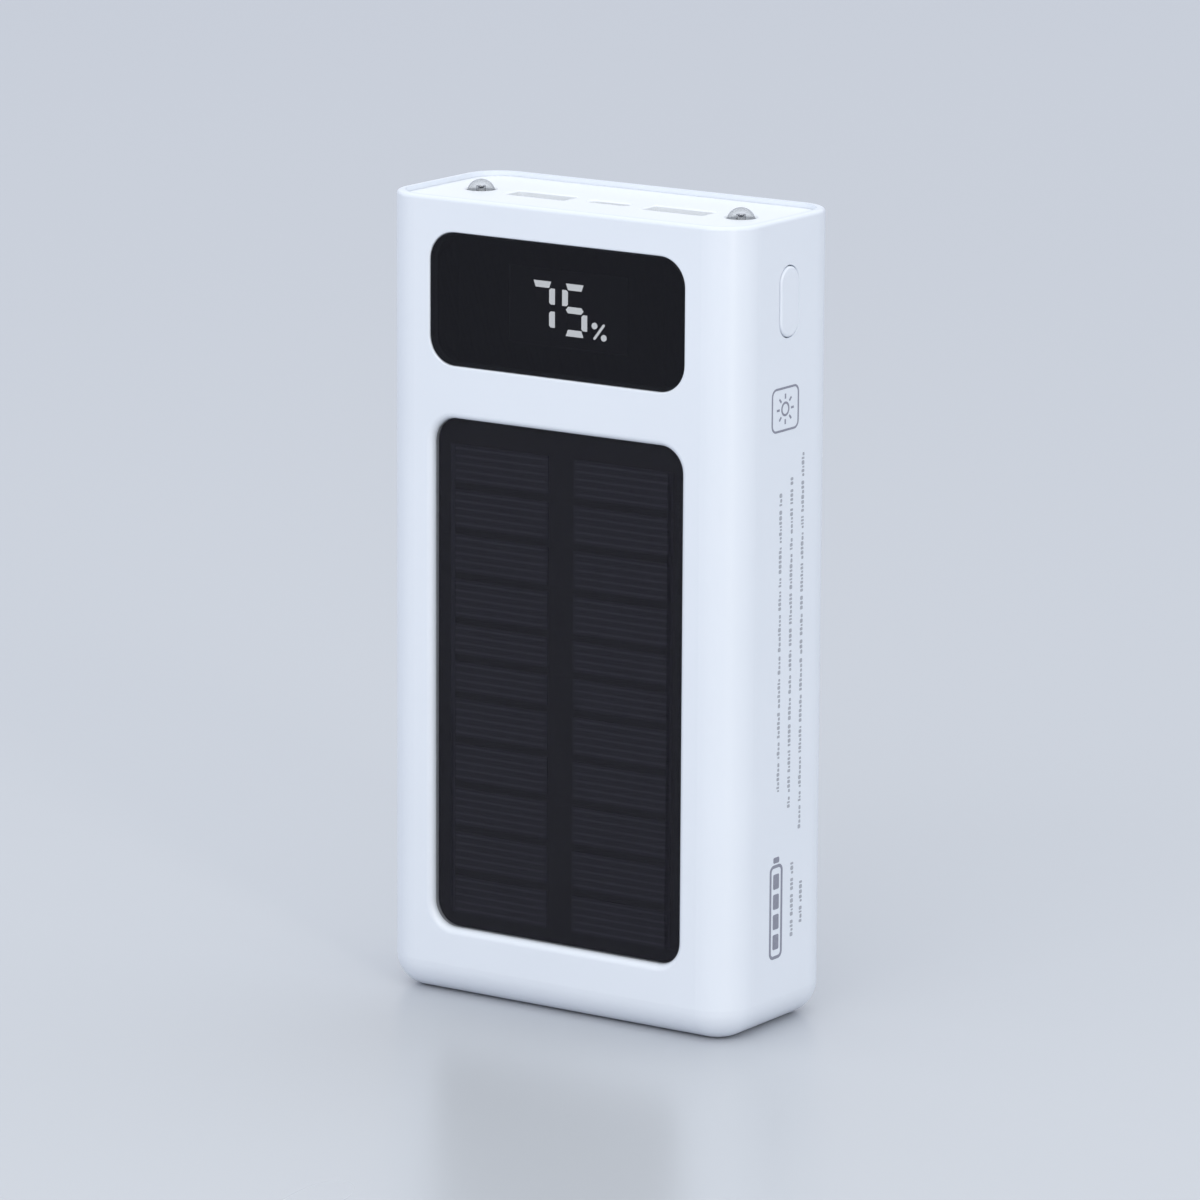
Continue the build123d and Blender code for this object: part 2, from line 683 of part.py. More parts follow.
# Power button: crowned pill, retaining flange and stem
with BuildPart() as power_button:
    with BuildSketch(side_plane(FLANGE_OUTER_X)):
        with Locations((BUTTON_Y, BUTTON_Z)):
            SlotOverall(BUTTON_L, BUTTON_W, rotation=90)
    extrude(amount=SIDE_X + BUTTON_PROUD - FLANGE_OUTER_X)
    fillet(power_button.faces().sort_by(Axis.X)[-1].edges(), BUTTON_CROWN_R)
    with BuildSketch(side_plane(FLANGE_OUTER_X)):
        with Locations((BUTTON_Y, BUTTON_Z)):
            SlotOverall(BUTTON_L + FLANGE_EXTRA, BUTTON_W + FLANGE_EXTRA, rotation=90)
    extrude(amount=-FLANGE_T)
    with BuildSketch(side_plane(FLANGE_INNER_X)):
        with Locations((SWITCH_Y, BUTTON_Z)):
            Rectangle(STEM_W, STEM_L)
    extrude(amount=PLUNGER_TIP_X - FLANGE_INNER_X)
power_button.part.label = "power_button"
export_step(power_button.part, "parts/power_button.step")

# Plunger of the switch, pushed by the button's stem
with BuildPart() as switch_plunger:
    with BuildSketch(side_plane(SWITCH_OUTER_X - PLUNGER_IN)):
        with Locations((SWITCH_Y, BUTTON_Z)):
            Rectangle(PLUNGER_W, PLUNGER_H)
    extrude(amount=PLUNGER_IN + PLUNGER_OUT)
switch_plunger.part.label = "switch_plunger"
export_step(switch_plunger.part, "parts/switch_plunger.step")

# Switch body on the edge of the main board
with BuildPart() as switch_body:
    with BuildSketch(side_plane(SWITCH_OUTER_X - SWITCH_L)):
        with Locations((SWITCH_Y, BUTTON_Z)):
            Rectangle(SWITCH_W, SWITCH_H)
    extrude(amount=SWITCH_L)
    with BuildSketch(side_plane(SWITCH_OUTER_X)):
        with Locations((SWITCH_Y, BUTTON_Z)):
            Rectangle(PLUNGER_W + 2 * PLUNGER_CLEARANCE, PLUNGER_H + 2 * PLUNGER_CLEARANCE)
    extrude(amount=-(PLUNGER_IN + BUTTON_TRAVEL + PLUNGER_OVERTRAVEL), mode=Mode.SUBTRACT)
switch_body.part.label = "switch_body"
export_step(switch_body.part, "parts/switch_body.step")

# Torch lamps: flanged clear domes with a pocket for the reflector
for side, lamp_x in (("left", -LAMP_X), ("right", LAMP_X)):
    with BuildPart() as torch_lamp:
        with BuildSketch(level(LAMP_BASE_Z)):
            with Locations((lamp_x, 0)):
                Circle(LAMP_FLANGE_R)
        extrude(amount=LAMP_FLANGE_T)
        with BuildSketch(level(LAMP_BASE_Z)):
            with Locations((lamp_x, 0)):
                Circle(LAMP_R)
        extrude(amount=LAMP_DOME_Z - LAMP_BASE_Z)
        with Locations((lamp_x, 0, LAMP_DOME_Z)):
            Sphere(LAMP_R, arc_size1=0, align=(Align.CENTER, Align.CENTER, Align.MIN))
        with BuildSketch(level(LAMP_BASE_Z)):
            with Locations((lamp_x, 0)):
                Circle(REFLECTOR_R)
        extrude(amount=REFLECTOR_T, mode=Mode.SUBTRACT)
    torch_lamp.part.label = f"torch_lamp_{side}"
    export_step(torch_lamp.part, f"parts/torch_lamp_{side}.step")

# Reflector cups inside the lamps
with BuildPart() as torch_reflectors:
    with BuildSketch(level(LAMP_BASE_Z)):
        with Locations((-LAMP_X, 0), (LAMP_X, 0)):
            Circle(REFLECTOR_R)
    extrude(amount=REFLECTOR_T)
    with BuildSketch(level(LAMP_BASE_Z + REFLECTOR_T)):
        with Locations((-LAMP_X, 0), (LAMP_X, 0)):
            Circle(DISH_R)
    extrude(amount=-DISH_DEPTH, taper=DISH_TAPER, mode=Mode.SUBTRACT)
torch_reflectors.part.label = "torch_reflectors"
export_step(torch_reflectors.part, "parts/torch_reflectors.step")

# Light-emitting chips in the reflector cups
with BuildPart() as torch_chips:
    with BuildSketch(level(LAMP_BASE_Z + REFLECTOR_T - DISH_DEPTH)):
        with Locations((-LAMP_X, 0), (LAMP_X, 0)):
            Rectangle(CHIP_W, CHIP_W)
    extrude(amount=CHIP_T)
torch_chips.part.label = "torch_chips"
export_step(torch_chips.part, "parts/torch_chips.step")

# Bent leads from the lamps to the main board
with BuildPart() as torch_leads:
    for lamp_x in (-LAMP_X, LAMP_X):
        for lead_x in (lamp_x - LAMP_LEAD_X, lamp_x + LAMP_LEAD_X):
            with BuildSketch(level(LAMP_BASE_Z)):
                with Locations((lead_x, 0)):
                    Rectangle(LAMP_LEAD_W, LAMP_LEAD_W)
            extrude(amount=-LAMP_LEAD_DROP)
            with BuildSketch(front_plane(BOARD_Y)):
                with Locations((lead_x, LAMP_BASE_Z - LAMP_LEAD_DROP + LAMP_LEAD_W / 2)):
                    Rectangle(LAMP_LEAD_W, LAMP_LEAD_W)
            extrude(amount=BOARD_Y)
torch_leads.part.label = "torch_leads"
export_step(torch_leads.part, "parts/torch_leads.step")

# Large charging sockets
for side, socket_x in (("left", -USB_A_X), ("right", USB_A_X)):
    tongue_front = USB_A_TONGUE_Y - USB_A_TONGUE_T / 2
    contact_y = tongue_front - CONTACT_T / 2
    contact_top = USB_MOUTH - USB_A_TONGUE_SINK - CONTACT_SINK
    contact_bottom = USB_A_BOTTOM - CONTACT_TAIL

    # Folded steel shell with two spring leaves on its front wall
    with BuildPart() as usb_a_shell:
        with BuildSketch(level(USB_A_BOTTOM)):
            with Locations((socket_x, 0)):
                RectangleRounded(USB_A_W, USB_A_H, USB_A_R)
                RectangleRounded(
                    USB_A_W - 2 * SHELL_T,
                    USB_A_H - 2 * SHELL_T,
                    USB_A_R - SHELL_T,
                    mode=Mode.SUBTRACT,
                )
        extrude(amount=USB_A_L)
        leaf_top = USB_MOUTH - USB_A_LEAF_SINK
        leaf_y = SHELL_T - USB_A_H / 2
        for leaf_x in (socket_x - USB_A_LEAF_X, socket_x + USB_A_LEAF_X):
            with BuildSketch(side_plane(leaf_x)):
                with BuildLine():
                    Polyline(
                        (leaf_y, leaf_top),
                        (leaf_y + USB_A_LEAF_BOW, leaf_top - USB_A_LEAF_L * USB_A_LEAF_PEAK),
                        (leaf_y, leaf_top - USB_A_LEAF_L),
                        close=True,
                    )
                make_face()
            extrude(amount=USB_A_LEAF_W / 2, both=True)
    usb_a_shell.part.label = f"usb_a_shell_{side}"
    export_step(usb_a_shell.part, f"parts/usb_a_shell_{side}.step")

    # Moulded insulator: base block and contact tongue
    with BuildPart() as usb_a_tongue:
        with BuildSketch(level(USB_A_BOTTOM)):
            with Locations((socket_x, 0)):
                RectangleRounded(
                    USB_A_W - 2 * (SHELL_T + FIT_GAP), USB_A_H - 2 * (SHELL_T + FIT_GAP), USB_A_R
                )
        extrude(amount=USB_A_BASE_T)
        with BuildSketch(level(USB_A_BOTTOM)):
            with Locations((socket_x, USB_A_TONGUE_Y)):
                Rectangle(USB_A_TONGUE_W, USB_A_TONGUE_T)
        extrude(amount=USB_A_L - USB_A_TONGUE_SINK)
        fillet(usb_a_tongue.faces().sort_by(Axis.Z)[-1].edges(), USB_A_TONGUE_EDGE)
        with BuildSketch(level(USB_A_BOTTOM)):
            with Locations(*[(socket_x + x, contact_y) for x in USB_A_CONTACT_X]):
                Rectangle(USB_A_CONTACT_W, CONTACT_T)
        extrude(amount=USB_A_BASE_T, mode=Mode.SUBTRACT)
    usb_a_tongue.part.label = f"usb_a_tongue_{side}"
    export_step(usb_a_tongue.part, f"parts/usb_a_tongue_{side}.step")

    # Four contacts, bent at the tail to reach the main board
    with BuildPart() as usb_a_contacts:
        with BuildSketch(level(contact_bottom)):
            with Locations(*[(socket_x + x, contact_y) for x in USB_A_CONTACT_X]):
                Rectangle(USB_A_CONTACT_W, CONTACT_T)
        extrude(amount=contact_top - contact_bottom)
        with BuildSketch(level(contact_bottom)):
            with Locations(
                *[(socket_x + x, (contact_y + BOARD_Y) / 2) for x in USB_A_CONTACT_X]
            ):
                Rectangle(USB_A_CONTACT_W, BOARD_Y - contact_y)
        extrude(amount=CONTACT_T)
    usb_a_contacts.part.label = f"usb_a_contacts_{side}"
    export_step(usb_a_contacts.part, f"parts/usb_a_contacts_{side}.step")

# Small charging socket: drawn steel shell
with BuildPart() as usb_c_shell:
    with BuildSketch(level(USB_C_BOTTOM)):
        SlotOverall(USB_C_W, USB_C_H)
        SlotOverall(USB_C_W - 2 * SHELL_T, USB_C_H - 2 * SHELL_T, mode=Mode.SUBTRACT)
    extrude(amount=USB_C_L)
usb_c_shell.part.label = "usb_c_shell"
export_step(usb_c_shell.part, "parts/usb_c_shell.step")

# Insulator of the small socket
with BuildPart() as usb_c_tongue:
    with BuildSketch(level(USB_C_BOTTOM)):
        SlotOverall(USB_C_W - 2 * (SHELL_T + FIT_GAP), USB_C_H - 2 * (SHELL_T + FIT_GAP))
    extrude(amount=USB_C_BASE_T)
    with BuildSketch(level(USB_C_BOTTOM)):
        Rectangle(USB_C_TONGUE_W, USB_C_TONGUE_T)
    extrude(amount=USB_C_L - USB_C_TONGUE_SINK)
    chamfer(usb_c_tongue.faces().sort_by(Axis.Z)[-1].edges(), USB_C_TONGUE_EDGE)
usb_c_tongue.part.label = "usb_c_tongue"
export_step(usb_c_tongue.part, "parts/usb_c_tongue.step")

# Contacts on both faces of the small socket's tongue
usb_c_contact_l = USB_C_L - USB_C_TONGUE_SINK - USB_C_BASE_T - CONTACT_SINK
with BuildPart() as usb_c_contacts:
    with BuildSketch(level(USB_C_BOTTOM + USB_C_BASE_T)):
        for contact_y in (
            -(USB_C_TONGUE_T + USB_C_CONTACT_T) / 2,
            (USB_C_TONGUE_T + USB_C_CONTACT_T) / 2,
        ):
            with Locations((0, contact_y)):
                with GridLocations(USB_C_PITCH, 0, USB_C_CONTACTS, 1):
                    Rectangle(USB_C_CONTACT_W, USB_C_CONTACT_T)
    extrude(amount=usb_c_contact_l)
usb_c_contacts.part.label = "usb_c_contacts"
export_step(usb_c_contacts.part, "parts/usb_c_contacts.step")

# Riser that holds the small socket level with the large ones
with BuildPart() as usb_c_riser:
    with BuildSketch(level(USB_C_BOTTOM)):
        with Locations((0, (USB_C_H / 2 + BOARD_Y) / 2)):
            Rectangle(USB_C_W - USB_C_H, BOARD_Y - USB_C_H / 2)
    extrude(amount=BOARD_TOP - USB_C_BOTTOM)
usb_c_riser.part.label = "usb_c_riser"
export_step(usb_c_riser.part, "parts/usb_c_riser.step")

# Main board, held by four screws
with BuildPart() as main_board:
    with BuildSketch(front_plane(BOARD_BACK)):
        with Locations((0, (BOARD_TOP + BOARD_BOTTOM) / 2)):
            RectangleRounded(BOARD_W, BOARD_TOP - BOARD_BOTTOM, BOARD_CORNER_R)
        with Locations(*SCREW_POINTS):
            Circle(SCREW_R + SCREW_HOLE_PLAY, mode=Mode.SUBTRACT)
    extrude(amount=BOARD_T)
main_board.part.label = "main_board"
export_step(main_board.part, "parts/main_board.step")

# Power inductors
with BuildPart() as power_inductors:
    with BuildSketch(board_part_plane()):
        with Locations(*INDUCTOR_PLACES):
            RectangleRounded(INDUCTOR_W, INDUCTOR_W, INDUCTOR_R)
    extrude(amount=INDUCTOR_H)
power_inductors.part.label = "power_inductors"
export_step(power_inductors.part, "parts/power_inductors.step")

# Charge controller chip
with BuildPart() as controller_chip:
    with BuildSketch(board_part_plane()):
        with Locations((0, CONTROLLER_Z)):
            Rectangle(CONTROLLER_W, CONTROLLER_W)
    extrude(amount=CHIP_PACKAGE_H)
controller_chip.part.label = "controller_chip"
export_step(controller_chip.part, "parts/controller_chip.step")

# Power transistors
with BuildPart() as power_transistors:
    with BuildSketch(board_part_plane()):
        with Locations(*TRANSISTOR_PLACES):
            Rectangle(TRANSISTOR_W, TRANSISTOR_L)
    extrude(amount=TRANSISTOR_H)
power_transistors.part.label = "power_transistors"
export_step(power_transistors.part, "parts/power_transistors.step")

# Polymer capacitors, upright cans
with BuildPart() as polymer_capacitors:
    with BuildSketch(board_part_plane()):
        with Locations(*CAPACITOR_PLACES):
            Circle(CAPACITOR_R)
    extrude(amount=CAPACITOR_H)
    can_tops = polymer_capacitors.faces().filter_by(Plane.XZ).group_by(Axis.Y)[0]
    fillet(can_tops.edges(), CAPACITOR_EDGE)
polymer_capacitors.part.label = "polymer_capacitors"
export_step(polymer_capacitors.part, "parts/polymer_capacitors.step")

# Chip capacitors and resistors
with BuildPart() as chip_passives:
    with BuildSketch(board_part_plane()):
        with Locations((0, PASSIVE_Z)):
            with GridLocations(PASSIVE_PITCH, 0, PASSIVE_COUNT, 1):
                Rectangle(PASSIVE_W, PASSIVE_L)
    extrude(amount=CHIP_PACKAGE_H)
chip_passives.part.label = "chip_passives"
export_step(chip_passives.part, "parts/chip_passives.step")

# Bracket: floor over the battery, wall behind the main board, four screw posts
floor_front = PANEL_BACKING + BRACKET_CLEARANCE
floor_back = CAVITY_Y - BRACKET_CLEARANCE
with BuildPart() as board_bracket:
    with BuildSketch(level(BRACKET_FLOOR_Z)):
        with Locations((0, (floor_front + floor_back) / 2)):
            RectangleRounded(
                2 * (CAVITY_X - BRACKET_CLEARANCE), floor_back - floor_front, CORNER_R - WALL
            )
        with Locations((0, BATTERY_LEAD_Y)):
            Rectangle(2 * BATTERY_LEAD_X + LEAD_NOTCH_W, LEAD_NOTCH_W, mode=Mode.SUBTRACT)
        with Locations((SOLAR_LEAD_MID_X, SOLAR_LEAD_Y)):
            Rectangle(LEAD_HOLE_W + SOLAR_LEAD_D, LEAD_NOTCH_W, mode=Mode.SUBTRACT)
    extrude(amount=BRACKET_FLOOR_T)
    with BuildSketch(front_plane(BRACKET_WALL_Y)):
        with Locations((0, (BRACKET_FLOOR_Z + BRACKET_WALL_TOP) / 2)):
            Rectangle(BOARD_W, BRACKET_WALL_TOP - BRACKET_FLOOR_Z)
    extrude(amount=-BRACKET_WALL_T)
    with BuildSketch(front_plane(BRACKET_WALL_Y)):
        with Locations(*SCREW_POINTS):
            Circle(BOSS_R)
    extrude(amount=BRACKET_WALL_Y - BOARD_BACK)
    with BuildSketch(front_plane(BOARD_BACK)):
        with Locations(*SCREW_POINTS):
            Circle(SCREW_R)
    extrude(amount=-SCREW_L, mode=Mode.SUBTRACT)
board_bracket.part.label = "board_bracket"
export_step(board_bracket.part, "parts/board_bracket.step")

# Screws that hold the main board to the bracket
with BuildPart() as board_screws:
    with BuildSketch(board_part_plane()):
        with Locations(*SCREW_POINTS):
            Circle(SCREW_HEAD_R)
    extrude(amount=SCREW_HEAD_T)
    head_tops = board_screws.faces().filter_by(Plane.XZ).group_by(Axis.Y)[0]
    fillet(head_tops.edges(), SCREW_HEAD_EDGE)
    with BuildSketch(board_part_plane()):
        with Locations(*SCREW_POINTS):
            Circle(SCREW_R - SCREW_THREAD_PLAY)
    extrude(amount=-SCREW_L)
    with BuildSketch(front_plane(BOARD_Y - SCREW_HEAD_T)):
        with Locations(*SCREW_POINTS):
            Rectangle(SCREW_SLOT_L, SCREW_SLOT_W)
            Rectangle(SCREW_SLOT_W, SCREW_SLOT_L)
    extrude(amount=-SCREW_SLOT_DEPTH, mode=Mode.SUBTRACT)
board_screws.part.label = "board_screws"
export_step(board_screws.part, "parts/board_screws.step")

# Two flat battery cells, one behind the other
for place, cell_y in (("front", BATTERY_FRONT_Y), ("rear", BATTERY_REAR_Y)):
    with BuildPart() as battery_cell:
        with BuildSketch(level(BATTERY_BOTTOM)):
            with Locations((0, cell_y + BATTERY_T / 2)):
                RectangleRounded(BATTERY_W, BATTERY_T, BATTERY_R)
        extrude(amount=BATTERY_H)
        fillet(battery_cell.faces().filter_by(Axis.Z).edges(), BATTERY_EDGE)
        with BuildSketch(level(BATTERY_TOP)):
            with Locations((0, cell_y + BATTERY_T / 2)):
                Rectangle(BATTERY_W - 2 * FLAP_INSET, FLAP_T)
        extrude(amount=FLAP_H)
    battery_cell.part.label = f"battery_cell_{place}"
    export_step(battery_cell.part, f"parts/battery_cell_{place}.step")

# Metal tabs from the cells up to the guard board
with BuildPart() as cell_tabs:
    with BuildSketch(level(BATTERY_TOP + FLAP_H)):
        for cell_y in (BATTERY_FRONT_Y, BATTERY_REAR_Y):
            with Locations((-TAB_X, cell_y + BATTERY_T / 2), (TAB_X, cell_y + BATTERY_T / 2)):
                Rectangle(TAB_W, TAB_T)
    extrude(amount=GUARD_Z - BATTERY_TOP - FLAP_H)
cell_tabs.part.label = "cell_tabs"
export_step(cell_tabs.part, "parts/cell_tabs.step")

# Adhesive sheets in front of, between and behind the cells
with BuildPart() as cell_tapes:
    for tape_back in (BATTERY_FRONT_Y, BATTERY_REAR_Y, CAVITY_Y):
        with BuildSketch(front_plane(tape_back)):
            with Locations((0, BATTERY_MID_Z)):
                Rectangle(TAPE_W, TAPE_H)
        extrude(amount=TAPE_T)
cell_tapes.part.label = "cell_tapes"
export_step(cell_tapes.part, "parts/cell_tapes.step")

# Guard board that protects the cells
guard_front = BATTERY_FRONT_Y + BATTERY_T / 2 - GUARD_OVERHANG
guard_back = BATTERY_REAR_Y + BATTERY_T / 2 + GUARD_OVERHANG
with BuildPart() as guard_board:
    with BuildSketch(level(GUARD_Z)):
        with Locations((0, (guard_front + guard_back) / 2)):
            Rectangle(GUARD_W, guard_back - guard_front)
    extrude(amount=GUARD_T)
guard_board.part.label = "guard_board"
export_step(guard_board.part, "parts/guard_board.step")

# Guard chips
with BuildPart() as guard_chips:
    with BuildSketch(level(GUARD_Z + GUARD_T)):
        with Locations((0, guard_back - GUARD_CHIP_INSET)):
            with GridLocations(GUARD_CHIP_PITCH, 0, GUARD_CHIP_COUNT, 1):
                Rectangle(GUARD_CHIP_W, GUARD_CHIP_L)
    extrude(amount=CHIP_PACKAGE_H)
guard_chips.part.label = "guard_chips"
export_step(guard_chips.part, "parts/guard_chips.step")

# Battery leads from the guard board to the main board
for colour, lead_x in (("red", BATTERY_LEAD_X), ("black", -BATTERY_LEAD_X)):
    route = lead_path(
        [
            (lead_x, BATTERY_LEAD_Y, GUARD_Z + GUARD_T),
            (lead_x, BATTERY_LEAD_Y, BATTERY_LEAD_TOP),
            (lead_x, BOARD_Y, BATTERY_LEAD_TOP),
        ],
        BATTERY_LEAD_BEND,
    )
    with BuildPart() as battery_lead:
        with BuildSketch(Plane(origin=route @ 0, z_dir=route % 0)):
            Circle(BATTERY_LEAD_D / 2)
        sweep(path=route)
    battery_lead.part.label = f"battery_lead_{colour}"
    export_step(battery_lead.part, f"parts/battery_lead_{colour}.step")

# Solar leads from the panel's back to the main board
for colour, lead_x in SOLAR_LEAD_X.items():
    route = lead_path(
        [
            (lead_x, BACKBOARD_BACK, SOLAR_LEAD_Z),
            (lead_x, SOLAR_LEAD_Y, SOLAR_LEAD_Z),
            (lead_x, SOLAR_LEAD_Y, SOLAR_LEAD_TOP),
            (lead_x, BOARD_Y, SOLAR_LEAD_TOP),
        ],
        SOLAR_LEAD_BEND,
    )
    with BuildPart() as solar_lead:
        with BuildSketch(Plane(origin=route @ 0, z_dir=route % 0)):
            Circle(SOLAR_LEAD_D / 2)
        sweep(path=route)
    solar_lead.part.label = f"solar_lead_{colour}"
    export_step(solar_lead.part, f"parts/solar_lead_{colour}.step")
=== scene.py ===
import json
import math
import random

import bmesh
import bpy
from mathutils import Matrix, Vector


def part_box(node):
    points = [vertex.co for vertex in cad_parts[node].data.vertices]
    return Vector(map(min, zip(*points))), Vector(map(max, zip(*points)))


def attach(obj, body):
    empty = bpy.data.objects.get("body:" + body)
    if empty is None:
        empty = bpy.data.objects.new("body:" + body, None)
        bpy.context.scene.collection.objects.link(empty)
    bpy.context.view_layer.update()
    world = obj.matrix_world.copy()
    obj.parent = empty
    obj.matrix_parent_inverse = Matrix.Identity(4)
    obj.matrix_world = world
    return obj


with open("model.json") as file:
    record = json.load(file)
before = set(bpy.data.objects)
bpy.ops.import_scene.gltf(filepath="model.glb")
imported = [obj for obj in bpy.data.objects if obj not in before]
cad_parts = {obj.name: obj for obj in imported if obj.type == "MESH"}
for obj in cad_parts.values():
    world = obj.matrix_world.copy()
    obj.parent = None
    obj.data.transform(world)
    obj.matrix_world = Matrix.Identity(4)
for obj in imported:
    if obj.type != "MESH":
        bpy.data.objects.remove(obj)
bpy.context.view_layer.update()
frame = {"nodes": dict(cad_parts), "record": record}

# ---- Driving values, in metres ----
MM = 0.001
BODY = "charger"
CASE_LOW, CASE_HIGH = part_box("case_body")
SIDE_X = CASE_HIGH.x
MIDDLE = Vector((0, 0, (CASE_LOW.z + CASE_HIGH.z) / 2))
CELLS_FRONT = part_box("solar_cells")[0].y

# Camera: a long lens a little above the front right corner
CAMERA_AZIMUTH = 34.083
CAMERA_ELEVATION = 12.105
CAMERA_DISTANCE = 1.226
CAMERA_YAW = 34.143
CAMERA_PITCH = 12.091
CAMERA_ROLL = 0.309
CAMERA_LENS = 214.5
SENSOR_WIDTH = 36.0

# Printed layers: the fingers on the cells, and the ink on the right side
INK_THICKNESS = 0.03 * MM
INK_LINE = 0.38 * MM


# ---- Small helpers ----
def link(obj):
    """Puts an object in the scene and returns it."""
    bpy.context.scene.collection.objects.link(obj)
    return obj


def mesh_object(name, mesh_data):
    """Object from a bmesh, linked into the scene."""
    mesh = bpy.data.meshes.new(name)
    mesh_data.to_mesh(mesh)
    mesh_data.free()
    return link(bpy.data.objects.new(name, mesh))


def piece(obj, body, material):
    """Finishes a new piece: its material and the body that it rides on."""
    obj.data.materials.clear()
    obj.data.materials.append(material)
    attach(obj, body)
    return obj


def rounded_outline(width, height, radius, steps=8):
    """Points of a rounded rectangle about the origin, anticlockwise."""
    points = []
    centres = [
        (width / 2 - radius, height / 2 - radius, 0),
        (radius - width / 2, height / 2 - radius, 90),
        (radius - width / 2, radius - height / 2, 180),
        (width / 2 - radius, radius - height / 2, 270),
    ]
    for x, y, start in centres:
        for step in range(steps + 1):
            angle = math.radians(start + 90 * step / steps)
            points.append((x + radius * math.cos(angle), y + radius * math.sin(angle)))
    return points


def circle_outline(radius, steps=32):
    """Points of a circle about the origin, anticlockwise."""
    return [
        (radius * math.cos(2 * math.pi * i / steps), radius * math.sin(2 * math.pi * i / steps))
        for i in range(steps)
    ]


def shifted(points, dx, dy):
    """The same outline, moved."""
    return [(x + dx, y + dy) for x, y in points]


class Relief:
    """Flat raised shapes on a plane, gathered into one mesh."""

    def __init__(self, origin, across, up, out, thickness):
        self.origin = Vector(origin)
        self.across = Vector(across)
        self.up = Vector(up)
        self.out = Vector(out)
        self.thickness = thickness
        self.mesh = bmesh.new()

    def point(self, x, y, height):
        """Vertex at a place on the plane, raised by a height."""
        place = self.origin + self.across * x + self.up * y + self.out * height
        return self.mesh.verts.new(place)

    def face(self, verts):
        """One face."""
        self.mesh.faces.new(verts)

    def solid(self, outline):
        """Raised plate with this outline."""
        low = [self.point(x, y, 0) for x, y in outline]
        high = [self.point(x, y, self.thickness) for x, y in outline]
        self.face(high)
        self.face(list(reversed(low)))
        for i in range(len(outline)):
            j = (i + 1) % len(outline)
            self.face([low[i], low[j], high[j], high[i]])

    def ring(self, outer, inner):
        """Raised frame between two outlines with the same number of points."""
        rows = [
            [self.point(x, y, 0) for x, y in outer],
            [self.point(x, y, self.thickness) for x, y in outer],
            [self.point(x, y, self.thickness) for x, y in inner],
            [self.point(x, y, 0) for x, y in inner],
        ]
        for a, b in ((0, 1), (1, 2), (2, 3), (3, 0)):
            for i in range(len(outer)):
                j = (i + 1) % len(outer)
                self.face([rows[a][i], rows[a][j], rows[b][j], rows[b][i]])

    def finish(self, name):
        """The gathered object."""
        bmesh.ops.recalc_face_normals(self.mesh, faces=self.mesh.faces)
        return mesh_object(name, self.mesh)


# ---- Materials ----
class Shader:
    """A node material with a Principled shader and short ways to feed it."""

    def __init__(self, name, base, roughness=0.5, **sockets):
        self.material = bpy.data.materials.new(name)
        self.material.use_nodes = True
        self.nodes = self.material.node_tree.nodes
        self.links = self.material.node_tree.links
        self.principled = self.nodes["Principled BSDF"]
        self.set("Base Color", (*base, 1.0))
        self.set("Roughness", roughness)
        for socket, value in sockets.items():
            self.set(socket.replace("_", " ").title().replace("Ior", "IOR"), value)
        self.place = self.nodes.new("ShaderNodeTexCoord").outputs["Object"]

    def set(self, socket, value):
        """Sets a constant on the shader itself."""
        self.principled.inputs[socket].default_value = value

    def noise(self, size, detail=3.0, stretch=(1, 1, 1)):
        """Noise whose features are about this size in metres."""
        mapping = self.nodes.new("ShaderNodeMapping")
        mapping.inputs["Scale"].default_value = stretch
        noise = self.nodes.new("ShaderNodeTexNoise")
        noise.inputs["Scale"].default_value = 1.0 / size
        noise.inputs["Detail"].default_value = detail
        self.links.new(self.place, mapping.inputs["Vector"])
        self.links.new(mapping.outputs["Vector"], noise.inputs["Vector"])
        return noise.outputs["Fac"]

    def ramp(self, factor, *stops):
        """Colour ramp with (position, colour) stops."""
        ramp = self.nodes.new("ShaderNodeValToRGB")
        elements = ramp.color_ramp.elements
        while len(elements) < len(stops):
            elements.new(0.5)
        for element, (position, colour) in zip(elements, stops):
            element.position = position
            element.color = (*colour, 1.0)
        self.links.new(factor, ramp.inputs["Fac"])
        return ramp.outputs["Color"]

    def ranged(self, factor, low, high):
        """Number between low and high that follows a factor."""
        mapped = self.nodes.new("ShaderNodeMapRange")
        mapped.inputs["To Min"].default_value = low
        mapped.inputs["To Max"].default_value = high
        self.links.new(factor, mapped.inputs["Value"])
        return mapped.outputs["Result"]

    def vary_colour(self, factor, first, second):
        """Base colour that drifts between two tones."""
        colour = self.ramp(factor, (0.3, first), (0.7, second))
        self.links.new(colour, self.principled.inputs["Base Color"])

    def vary_roughness(self, factor, low, high):
        """Roughness that drifts between two values."""
        self.links.new(self.ranged(factor, low, high), self.principled.inputs["Roughness"])

    def bump(self, height, distance, strength=1.0):
        """Fine relief from a height signal, in metres."""
        bump = self.nodes.new("ShaderNodeBump")
        bump.inputs["Distance"].default_value = distance
        bump.inputs["Strength"].default_value = strength
        self.links.new(height, bump.inputs["Height"])
        self.links.new(bump.outputs["Normal"], self.principled.inputs["Normal"])


def white_plastic(name, first, second, roughness):
    """Moulded satin plastic: faint tone drift and a fine spark-eroded grain."""
    shader = Shader(name, first, roughness, coat_weight=0.12, coat_roughness=0.18)
    shader.vary_colour(shader.noise(22 * MM, 2.0), first, second)
    shader.vary_roughness(shader.noise(6 * MM, 4.0), roughness - 0.05, roughness + 0.05)
    shader.bump(shader.noise(0.22 * MM, 2.0), 0.006 * MM, 0.6)
    return shader.material


def smoked_acrylic():
    """Dark polished pane that lets lit bars show through."""
    shader = Shader("smoked_acrylic", (0.003, 0.003, 0.006), 0.08, alpha=0.75)
    shader.set("Specular IOR Level", 0.24)
    shader.vary_roughness(shader.noise(9 * MM, 4.0), 0.05, 0.12)
    shader.bump(shader.noise(14 * MM, 1.0), 0.01 * MM, 0.15)
    return shader.material


